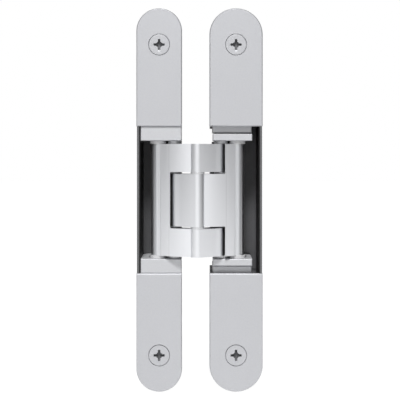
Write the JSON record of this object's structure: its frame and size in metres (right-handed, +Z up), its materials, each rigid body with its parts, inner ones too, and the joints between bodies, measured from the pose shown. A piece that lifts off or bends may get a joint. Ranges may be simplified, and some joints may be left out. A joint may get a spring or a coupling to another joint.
{
  "type": "concealed door hinge",
  "caption": "Concealed door hinge: two slim flush leaves with screwed covers, joined by crossed brackets that fold into deep pockets, with height and side adjustment.",
  "frame": {"origin": "centre of the frame leaf's front face, in the plane that is flush with the door frame", "axes": "+X from the door leaf towards the frame leaf's outer side, +Y into the depth of the frame and the door, +Z up along the leaves"},
  "size_m": [0.0659, 0.0522, 0.2],
  "materials": {
    "satin_cover": "fine satin chrome-look coating",
    "cast_body": "satin coated zinc casting",
    "bright_steel": "bright satin",
    "bracket_steel": "bright satin, rounded edges",
    "pin_steel": "ground",
    "screw_steel": "zinc plated",
    "black_steel": "black oxide",
    "black_plastic": "matt",
    "glide_plastic": "grey, smooth",
    "bush_bronze": "sintered, oiled"
  },
  "bodies": {
    "frame_leaf": {"frame_receiver": "cast_body", "frame_liner": "black_plastic", "frame_cover_upper": "satin_cover", "frame_cover_lower": "satin_cover", "frame_fixing_screws": "screw_steel", "frame_height_clamp_screws": "black_steel"},
    "height_slide": {"frame_slide_base_upper": "bright_steel", "frame_slide_base_lower": "bright_steel", "frame_side_clamp_screws": "black_steel", "frame_side_clamp_nuts": "black_steel"},
    "bearing_carriage": {"frame_bearing_block_upper": "bright_steel", "frame_bearing_block_lower": "bright_steel", "frame_pivot_pin": "pin_steel", "frame_pivot_washer_upper": "pin_steel", "frame_pivot_washer_lower": "pin_steel", "frame_pivot_sleeve": "pin_steel"},
    "c_link": {"c_bracket": "bracket_steel", "frame_pivot_bush_upper": "bush_bronze", "frame_pivot_bush_lower": "bush_bronze", "centre_pin": "pin_steel", "centre_arm_bush_upper": "bush_bronze", "centre_arm_bush_lower": "bush_bronze", "centre_washer_upper": "pin_steel", "centre_washer_lower": "pin_steel", "door_guide_pin": "pin_steel", "door_glide_upper": "glide_plastic", "door_glide_lower": "glide_plastic"},
    "t_link": {"t_bracket": "bracket_steel", "centre_bush": "bush_bronze", "door_pivot_bush": "bush_bronze", "frame_guide_pin": "pin_steel", "frame_glide_upper": "glide_plastic", "frame_glide_lower": "glide_plastic"},
    "door_leaf": {"door_receiver": "cast_body", "door_liner": "black_plastic", "door_cover_upper": "satin_cover", "door_cover_lower": "satin_cover", "door_fixing_screws": "screw_steel", "door_bearing_block_upper": "bright_steel", "door_bearing_block_lower": "bright_steel", "door_block_screws": "black_steel", "door_pivot_pin": "pin_steel", "door_pivot_sleeve_upper": "pin_steel", "door_pivot_sleeve_lower": "pin_steel"}
  },
  "joints": [
    {"name": "height_adjust", "type": "slide", "parent": "frame_leaf", "child": "height_slide", "axis": [0, 0, 1], "range_m": [-0.003, 0.003]},
    {"name": "side_adjust", "type": "slide", "parent": "height_slide", "child": "bearing_carriage", "axis": [1, 0, 0], "range_m": [-0.0014, 0.0014]},
    {"name": "frame_pivot", "type": "hinge", "parent": "bearing_carriage", "child": "c_link", "pos_m": [-0.00785, 0.007, 0], "axis": [0, 0, 1], "range_deg": [0, 104.1]},
    {"name": "centre_pivot", "type": "hinge", "parent": "c_link", "child": "t_link", "pos_m": [-0.02005, -0.0036, 0], "axis": [0, 0, 1], "range_deg": [-28.21, 0]},
    {"name": "door_pivot", "type": "hinge", "parent": "t_link", "child": "door_leaf", "pos_m": [-0.03225, 0.007, 0], "axis": [0, 0, 1], "range_deg": [0, 104.1]}
  ],
  "couplings": [
    {"joint": "centre_pivot", "follows": "frame_pivot", "ratio": -0.2709},
    {"joint": "door_pivot", "follows": "frame_pivot", "ratio": 1}
  ]
}
